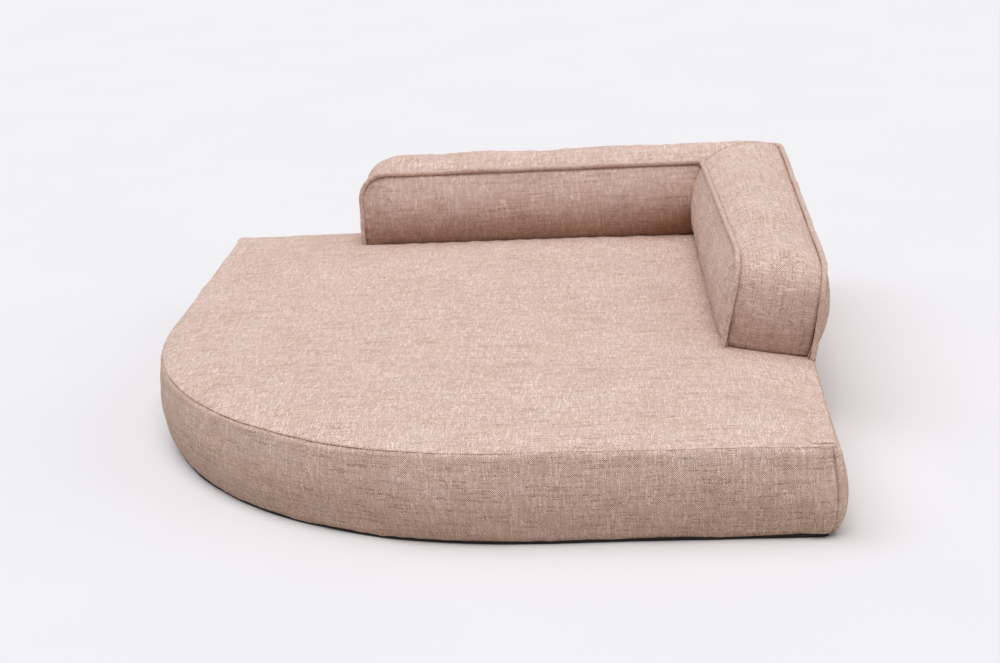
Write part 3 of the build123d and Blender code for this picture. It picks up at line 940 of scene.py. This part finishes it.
def foam_piece(leg, name, node, inset=7, start=13):
    """Foam core of one leg: its section, inset and rounded, run from the free end to the mitred corner."""
    turn = np.linspace(0, 2 * math.pi, 33)[:-1]
    circle = (np.cos(turn), np.sin(turn))
    side_share, rise_share = (0.5 + 0.5 * np.sign(v) * np.abs(v) ** 0.45 for v in circle)
    runs = np.concatenate([end_curve(8), END_RADIUS + steps(leg.length - END_RADIUS, 12)[1:]])
    run, across = np.meshgrid(runs, side_share, indexing="ij")
    crown = BOLSTER_CROWN * np.sin(math.pi * np.clip(across, 0, 1)) * smooth(0, 2 * END_RADIUS, run)
    rise = inset / 2 + (edge_rise(run) + crown - 1.5 * inset) * rise_share
    run = start + run * (mitre_run(leg, across) - 2 - start) / leg.length
    inner, outer = leg.edge(run, rise, 0), leg.edge(run, rise, 1)
    width = np.linalg.norm(outer - inner, axis=-1)
    share = (inset + (width - 2 * inset) * across) / width
    points = inner + (outer - inner) * share[..., None] - [2, 2, 0]
    piece = closed_tube(name, round_outer_corner(points), leg.middle())
    finish_piece(piece, node, "foam")


def edge_half(leg, side):
    """Line of the piping along one face of a leg, with the way outwards from the edge at each point."""
    up = np.linspace(-1, BOLSTER_HEIGHT - END_RADIUS, 24)
    end = float(corner_run(leg, side, np.array(BOLSTER_HEIGHT)))
    far = np.linspace(END_RADIUS, end, 160)[1:]
    run, rise, turn = piped_edge(up, np.linspace(0, math.pi / 2, 20)[1:], far)
    return np.column_stack([leg.edge(run, rise, side), band_way(leg, turn) * 0.9 + leg.out(side) * 0.55])


def edge_line(side):
    """Line of the piping along one side of the bolster, from the foot of one free end to the other's."""
    line = np.concatenate([edge_half(BACK_LEG, side), edge_half(RIGHT_LEG, side)[::-1][1:]])
    corner = (INNER_CORNER, OUTER_CORNER)[side]
    radius = (INNER_CORNER_RADIUS, OUTER_CORNER_RADIUS)[side]
    gap = np.linalg.norm(line[:, :3] - corner, axis=1)
    before = np.argmax(gap < radius)
    after = len(gap) - 1 - np.argmax(gap[::-1] < radius)
    start, end = line[before - 1], line[after + 1]
    middle = (start + end) / 2
    middle[:3] = corner
    t = np.linspace(0, 1, 15)[:, None]
    bend = (1 - t) ** 2 * start + 2 * t * (1 - t) * middle + t**2 * end
    return np.concatenate([line[: before - 1], bend, line[after + 2 :]])


def even(line, spacing):
    """The same line with evenly spaced points, and their lengths along it."""
    gaps = np.linalg.norm(np.diff(line[:, :3], axis=0), axis=1)
    along = np.concatenate([[0], np.cumsum(gaps)])
    places = np.linspace(0, along[-1], round(along[-1] / spacing) + 1)
    return np.column_stack([np.interp(places, along, column) for column in line.T]), places


def tube_points(line, places, radius, sides, seed, twist):
    """Rings round a line, a little uneven, whose frame is carried along it; twist gives them strands."""
    way = np.gradient(line, axis=0)
    way /= np.linalg.norm(way, axis=1)[:, None]
    normal = np.array([0.3, 0.9, 0.2])
    angle = np.arange(sides) * 2 * math.pi / sides
    swell = 0.035 * waves(places[:, None], 26, seed)
    rings = []
    for i, (spot, ahead) in enumerate(zip(line, way)):
        normal = normal - ahead * (normal @ ahead)
        normal /= np.linalg.norm(normal)
        ring = np.cos(angle)[:, None] * normal + np.sin(angle)[:, None] * np.cross(ahead, normal)
        strands = 1 + 0.12 * np.cos(3 * (angle + twist * places[i])) if twist else np.ones(sides)
        rings.append(spot + ring * (radius * (1 + swell[i]) * strands)[:, None])
    return np.array(rings), stacked(places[:, None], angle * radius, SEAMLESS)


def piping_piece(side, part, node, slot, material=None):
    """Piping cover or the cord in it: it stands a little proud of the sewn edge."""
    line, places = even(edge_line(side), PIPING_STEP)
    proud = PIPING_PROUD + 0.4 * waves(places[:, None], 140, 300 + side)
    centre = line[:, :3] + line[:, 3:] * proud[:, None]
    is_cloth = part == "cloth"
    radius, sides, twist = (PIPING / 2, 14, 0.0) if is_cloth else (PIPING_CORD / 2, 9, CORD_TWIST)
    rings, weave = tube_points(centre, places, radius, sides, 310 + side, twist)
    rows, columns = rings.shape[:2]
    points = np.concatenate([rings.reshape(-1, 3), rings[[0, -1]].mean(1)])
    weave = np.concatenate([weave.reshape(-1, 3), weave[[0, -1], 0]])
    faces = grid_faces(rows, columns, True).tolist()
    last, count = (rows - 1) * columns, rows * columns
    faces += [((i + 1) % columns, i, count) for i in range(columns)]
    faces += [(last + i, last + (i + 1) % columns, count + 1) for i in range(columns)]
    thing = close_up(new_mesh(f"bolster_{('inner', 'outer')[side]}_piping_{part}", points, faces, weave))
    finish_piece(thing, node, slot, material)


# Half of a zip tape's section: place across it and share of its thickness
TAPE_PROFILE = ((0.0, 0.75), (0.02, 1.0), (0.14, 1.0), (0.17, 0.7), (0.55, 0.7), (0.97, 0.7), (1.0, 0.45))


def tape_piece(zip_name, part):
    """Woven zip tape with a corded edge beside the teeth."""
    node = f"{zip_name}_zip_{part}_tape"
    low, high = (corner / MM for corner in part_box(node))
    teeth_side, far_side = (low.z, high.z) if part == "upper" else (high.z, low.z)
    middle, half = (low.y + high.y) / 2, (high.y - low.y) / 2
    ring = TAPE_PROFILE + tuple((place, -size) for place, size in reversed(TAPE_PROFILE))
    place, size = np.array(ring).T
    stations = np.linspace(low.x, high.x, round((high.x - low.x) / TAPE_STEP) + 1)
    height = teeth_side + (far_side - teeth_side) * place
    rings = stacked(stations[:, None], middle + half * size * TAPE_FIT, height)
    thing = closed_tube(f"{node}_twill", rings, (low + high) / 2)
    finish_piece(thing, node, "zip_tape")


# Materials


class Wire:
    """A node's output, which can be added, subtracted and multiplied as a number can."""

    def __init__(self, nodes, socket):
        self.nodes = nodes
        self.socket = socket

    def __add__(self, other):
        return self.nodes.math("ADD", self, other)

    def __sub__(self, other):
        return self.nodes.math("SUBTRACT", self, other)

    def __rsub__(self, other):
        return self.nodes.math("SUBTRACT", other, self)

    def __mul__(self, other):
        return self.nodes.math("MULTIPLY", self, other)


class Nodes:
    """The node tree of a material or world, with short calls to add and join nodes."""

    def __init__(self, owner, output, shader):
        owner.use_nodes = True
        self.owner = owner
        self.tree = owner.node_tree
        self.tree.nodes.clear()
        self.shader = self.add(shader)
        self.add(output, {"Surface": Wire(self, self.shader.outputs[0])})

    def add(self, kind, inputs=None, **settings):
        node = self.tree.nodes.new(kind)
        for key, value in settings.items():
            setattr(node, key, value)
        for key, value in (inputs or {}).items():
            self.put(value, node.inputs[key])
        return node

    def wire(self, kind, inputs=None, output=0, **settings):
        return Wire(self, self.add(kind, inputs, **settings).outputs[output])

    def put(self, value, socket):
        if isinstance(value, Wire):
            self.tree.links.new(value.socket, socket)
        else:
            socket.default_value = value

    def shade(self, inputs):
        for key, value in inputs.items():
            self.put(value, self.shader.inputs[key])

    def math(self, operation, a, b=0.0, clamp=False):
        return self.wire("ShaderNodeMath", {0: a, 1: b}, operation=operation, use_clamp=clamp)

    def combine(self, x, y, z=0.0):
        return self.wire("ShaderNodeCombineXYZ", {0: x, 1: y, 2: z})

    def tinted(self, colour, value, *stops):
        """The colour multiplied by a ramp over a value."""
        tint = self.ramp(value, *stops)
        return self.wire("ShaderNodeVectorMath", {0: colour, 1: tint}, operation="MULTIPLY")

    def noise(self, vector, scale, detail=2.0, rough=0.5):
        inputs = {"Vector": vector, "Scale": scale, "Detail": detail, "Roughness": rough}
        return self.wire("ShaderNodeTexNoise", inputs, "Fac")

    def white(self, vector):
        return self.wire("ShaderNodeTexWhiteNoise", {"Vector": vector}, "Value", noise_dimensions="3D")

    def ramp(self, value, *stops):
        node = self.add("ShaderNodeValToRGB", {0: value})
        for _ in stops[2:]:
            node.color_ramp.elements.new(0.5)
        for element, (place, colour) in zip(node.color_ramp.elements, stops):
            element.position = place
            element.color = (*colour, 1)
        return Wire(self, node.outputs[0])

    def bump(self, height, distance):
        return self.wire("ShaderNodeBump", {"Height": height, "Distance": distance, "Strength": 1.0})

    def seen(self):
        """1 for what the camera sees, also in a reflection, and otherwise 0."""
        rays = self.add("ShaderNodeLightPath").outputs
        return self.math("MAXIMUM", Wire(self, rays["Is Camera Ray"]), Wire(self, rays["Is Glossy Ray"]))


def surface(name):
    """Nodes of a new material."""
    return Nodes(bpy.data.materials.new(name), "ShaderNodeOutputMaterial", "ShaderNodeBsdfPrincipled")


WHITE = (1.0, 1.0, 1.0)
COVER_DARK = (0.42, 0.245, 0.165)
COVER_LIGHT = (1.0, 0.81, 0.745)
# Colours of painted shade: where the cloth lies low or in corners, and in the grooves of its seams
COVER_PAINTED_SHADE = (0.42, 0.30, 0.21)
COVER_SEAM_SHADE = (0.86, 0.79, 0.74)
PITCH = 1.1 * MM
SEAM_WIDTH = 1.6 * MM
WEAVE_DEPTH = 0.2 * MM

# Parts that make up the cloth's tone, and the tones of its three colours
THREAD_SHARE = 0.45
CELL_SHARE = 0.16
WEFT_SHARE = 0.21
CLOUD_SHARE = 0.08
TONE_DARK, TONE_MIDDLE, TONE_LIGHT = 0.425, 0.53, 0.635


def linen(name, bias=False):
    """Plain-woven melange cloth: uneven threads of mixed tone along both ways of the weave, with shade
    painted into its seams and where the mesh's shade attribute asks.
    """
    n = surface(name)
    weave = n.wire("ShaderNodeAttribute", output="Vector", attribute_name="weave")
    x, y, seam = (Wire(n, socket) for socket in n.add("ShaderNodeSeparateXYZ", {0: weave}).outputs)
    if bias:
        x, y = x + y, x - y
    drift = n.noise(n.combine(x, y), 4.0, 0.0)
    u = x * (1 / PITCH) + drift * 2.0
    v = y * (1 / PITCH) + drift * -2.0
    warp, weft = n.math("FLOOR", u), n.math("FLOOR", v)
    warp_up = n.math("GREATER_THAN", n.math("FRACT", (warp + weft) * 0.5), 0.25)
    weft_up = 1.0 - warp_up
    tone = thread_tone(n, warp, v, 3.1, 9) * warp_up + thread_tone(n, weft, u, 8.7, 26) * weft_up
    cell = n.white(n.combine(warp, weft, 3.0))
    tone = tone * THREAD_SHARE + cell * CELL_SHARE + weft_up * WEFT_SHARE
    for thread, place, seed, threads, spacing, share in (
        (warp, v, 2.3, 7, 3.71, 0.08),
        (weft, u, 5.9, 18, 3.71, 0.10),
        (warp, v, 7.1, 9, 0.45, 0.03),
        (weft, u, 1.7, 36, 0.33, 0.05),
    ):
        tone = tone + streak(n, thread, place, seed, threads, spacing) * share
    tone = tone + (n.noise(n.combine(x, y, 4.0), 12.0, 2.0) - 0.5) * CLOUD_SHARE
    middle = tuple((a + b) / 2 for a, b in zip(COVER_DARK, COVER_LIGHT))
    colour = n.ramp(tone, (TONE_DARK, COVER_DARK), (TONE_MIDDLE, middle), (TONE_LIGHT, COVER_LIGHT))
    hue = n.noise(n.combine(x * 0.6, y, 9.0), 26.0, 1.0)
    colour = n.tinted(colour, hue, (0.35, (1.0, 0.985, 0.97)), (0.65, (1.0, 1.0, 1.01)))
    # Painted shade: the colour darkens where the mesh's shade attribute is high, low on the faces and in
    # corners
    painted_shade = n.wire("ShaderNodeAttribute", output="Fac", attribute_name="painted_shade")
    colour = n.tinted(colour, painted_shade, (0.0, WHITE), (1.0, COVER_PAINTED_SHADE))
    # Painted shade in the seams' grooves: the colour darkens within SEAM_WIDTH of a seam
    painted_seam_shade = n.math("MULTIPLY", seam, 1 / SEAM_WIDTH, clamp=True)
    colour = n.tinted(colour, painted_seam_shade, (0.0, COVER_SEAM_SHADE), (1.0, WHITE))
    round_warp, round_weft = (
        n.math("ABSOLUTE", n.math("SINE", place * math.pi)) * (up * 0.65 + 0.35)
        for place, up in ((u, warp_up), (v, weft_up))
    )
    height = n.math("MAXIMUM", round_warp, round_weft) * (tone + 0.55)
    n.shade({
        "Base Color": colour,
        "Normal": n.bump(height, WEAVE_DEPTH),
        "Roughness": 0.95,
        "Specular IOR Level": 0.2,
        "Sheen Weight": 0.06,
        "Sheen Roughness": 0.45,
    })
    return n.owner


def thread_tone(n, thread, place, seed, slub_threads):
    """Tone of a thread along its length: slubs that change after a number of threads, and a softer drift."""
    slub = n.math("FLOOR", place * (1 / slub_threads) + n.white(n.combine(thread, seed, 0.5)) * 7.0)
    crisp = n.white(n.combine(thread, slub, seed))
    soft = n.noise(n.combine(thread * 5.37, place * 0.06, seed), 1.0, 2.0, 0.6)
    return crisp * 0.42 + soft * 0.58


def streak(n, thread, place, seed, threads, spacing):
    """Soft tone that runs along one thread, or a few at a small spacing, for a given number of threads."""
    return n.noise(n.combine(thread * spacing, place * (1 / threads), seed), 1.0, 1.0)


def plain_surface(name, colour, roughness, scale, bump, metallic=0.0, spread=0.12):
    """Surface with fine uneven tone and grain, for foam, tape, plastic and painted metal."""
    n = surface(name)
    grain = n.noise(n.wire("ShaderNodeTexCoord", output="Object"), scale, 3.0, 0.6)
    low = tuple(c * (1 - spread) for c in colour)
    high = tuple(min(1, c * (1 + spread)) for c in colour)
    n.shade({
        "Base Color": n.ramp(grain, (0.35, low), (0.65, high)),
        "Normal": n.bump(grain, bump * MM),
        "Roughness": roughness,
        "Metallic": metallic,
    })
    return n.owner


LOOKS = {
    "cover_cloth": linen("cover_linen"),
    "base_cloth": plain_surface("base_cloth_black", (0.02, 0.019, 0.02), 0.85, 900.0, 0.2),
    "foam": plain_surface("foam_cells", (0.80, 0.74, 0.55), 0.9, 500.0, 0.5),
    "piping_cord": plain_surface("cord_cotton", (0.70, 0.67, 0.60), 0.9, 1200.0, 0.3),
    "zip_tape": plain_surface("zip_tape_twill", (0.42, 0.31, 0.25), 0.85, 1500.0, 0.15),
    "zip_teeth": plain_surface("zip_teeth_moulded", (0.36, 0.26, 0.20), 0.4, 300.0, 0.02),
    "zip_metal": plain_surface("zip_metal_painted", (0.30, 0.23, 0.18), 0.35, 400.0, 0.02, 0.6),
}
piping_cloth = linen("piping_linen", bias=True)


# Pieces


mattress_top()
band_piece("mattress_front_band", 0, MARKS[5])
band_piece("mattress_right_band", MARKS[5], MARKS[8], seed=1)
band_piece("mattress_back_band_upper", MARKS[8], MARKS[11], "upper", 2)
band_piece("mattress_back_band_lower", MARKS[8], MARKS[11], "lower", 2)
face_piece(BACK_LEG, 0, "bolster_back_inner_cloth", "bolster_back_inner_panel")
face_piece(RIGHT_LEG, 0, "bolster_right_inner_cloth", "bolster_right_inner_panel")
face_piece(BACK_LEG, 1, "bolster_back_outer_cloth", "bolster_back_outer_panel", "upper")
face_piece(BACK_LEG, 1, "bolster_back_zip_strip_cloth", "bolster_back_zip_strip", "lower")
face_piece(RIGHT_LEG, 1, "bolster_right_outer_cloth", "bolster_right_outer_panel")
top_band(BACK_LEG, "bolster_back_top_cloth", "bolster_back_top_band")
top_band(RIGHT_LEG, "bolster_right_top_cloth", "bolster_right_top_band")
settle_panels()
make_panels()
mattress_foam_piece()
base_cloth_piece()
for leg in (BACK_LEG, RIGHT_LEG):
    bottom_piece(leg, f"bolster_{leg.label}_bottom_cloth", f"bolster_{leg.label}_bottom_panel")
    foam_piece(leg, f"bolster_{leg.label}_foam_block", f"bolster_{leg.label}_foam")
for side, word in enumerate(("inner", "outer")):
    piping_piece(side, "cloth", f"bolster_{word}_piping_cover", "cover_cloth", piping_cloth)
    piping_piece(side, "filler", f"bolster_{word}_piping_cord", "piping_cord")
for zip_name in ("mattress", "bolster"):
    for part in ("upper", "lower"):
        tape_piece(zip_name, part)

for row in frame["record"]["subparts"]:
    node = frame["nodes"][row["node"]]
    for i in range(len(node.data.materials)):
        node.data.materials[i] = LOOKS[row["material_slot"]]


# Stage, light and camera

FLOOR_LIT = (0.46, 0.40, 0.345, 1)
FLOOR_SHOWN = ((0.3, (0.80, 0.79, 0.80)), (0.7, (0.815, 0.805, 0.815)))
WORLD_TINT = (1.0, 0.93, 0.86, 1)


def make_floor(half=40000):
    """Large pale floor, whose light on the object is that of a warmer one."""
    corners = [(-half, -half, 0), (half, -half, 0), (half, half, 0), (-half, half, 0)]
    floor = new_mesh("floor", corners, [(0, 1, 2, 3)])
    n = surface("floor_white")
    grain = n.noise(n.wire("ShaderNodeTexCoord", output="Object"), 3.0, 3.0)
    colours = {"Factor": n.seen(), "A": FLOOR_LIT, "B": n.ramp(grain, *FLOOR_SHOWN)}
    mix = n.add("ShaderNodeMix", data_type="RGBA")
    for key, value in colours.items():
        n.put(value, mix.inputs[key])
    n.shade({"Base Color": Wire(n, mix.outputs["Result"]), "Roughness": 0.8, "Specular IOR Level": 0.2})
    floor.data.materials.append(n.owner)


def make_world(strength, shown):
    """Even light from all round, seen as a pale backdrop."""
    world = bpy.data.worlds.new("studio")
    bpy.context.scene.world = world
    n = Nodes(world, "ShaderNodeOutputWorld", "ShaderNodeMixShader")
    lit = n.wire("ShaderNodeBackground", {0: WORLD_TINT, 1: strength})
    n.shade({0: n.seen(), 1: lit, 2: n.wire("ShaderNodeBackground", {0: (*shown, 1), 1: 1.0})})


def sun_light(name, source, level, spread, colour):
    """Soft light from one side of the sky; level is what it adds on a surface that faces it."""
    lamp = bpy.data.lights.new(name, "SUN")
    lamp.energy = level * math.pi
    lamp.angle = math.radians(spread)
    lamp.color = colour
    thing = bpy.data.objects.new(name, lamp)
    thing.rotation_mode = "QUATERNION"
    thing.rotation_quaternion = Vector(source).to_track_quat("Z", "Y")
    bpy.context.scene.collection.objects.link(thing)


# Camera in metres, radians and millimetres of lens
CAMERA_PLACE = (0.2153, -2.1704, 0.7838)
CAMERA_YAW = -0.0888
CAMERA_PITCH = 0.3101
CAMERA_ROLL = -0.0611
CAMERA_LENS = 68.87


def make_camera():
    """Camera at the photograph's place and angle."""
    ahead = Vector((
        math.sin(CAMERA_YAW) * math.cos(CAMERA_PITCH),
        math.cos(CAMERA_YAW) * math.cos(CAMERA_PITCH),
        -math.sin(CAMERA_PITCH),
    ))
    level = Vector((math.cos(CAMERA_YAW), -math.sin(CAMERA_YAW), 0))
    upright = level.cross(ahead)
    right = level * math.cos(CAMERA_ROLL) + upright * math.sin(CAMERA_ROLL)
    up = -level * math.sin(CAMERA_ROLL) + upright * math.cos(CAMERA_ROLL)
    data = bpy.data.cameras.new("camera")
    data.lens = CAMERA_LENS
    camera = bpy.data.objects.new("camera", data)
    turn = Matrix((right, up, -ahead)).transposed().to_4x4()
    camera.matrix_world = Matrix.Translation(CAMERA_PLACE) @ turn
    bpy.context.scene.collection.objects.link(camera)
    bpy.context.scene.camera = camera


make_floor()
make_world(0.30, (0.862, 0.853, 0.865))
sun_light("overhead", (0.08, -0.40, 1.0), 0.48, 40, (0.99, 1.0, 1.01))
sun_light("left_window", (-0.42, 0.08, 0.91), 0.34, 50, (0.94, 1.0, 1.10))
sun_light("right_window", (1.0, -0.10, 0.50), 0.17, 60, (0.98, 1.0, 1.03))
make_camera()
bpy.context.scene.view_settings.view_transform = "Standard"
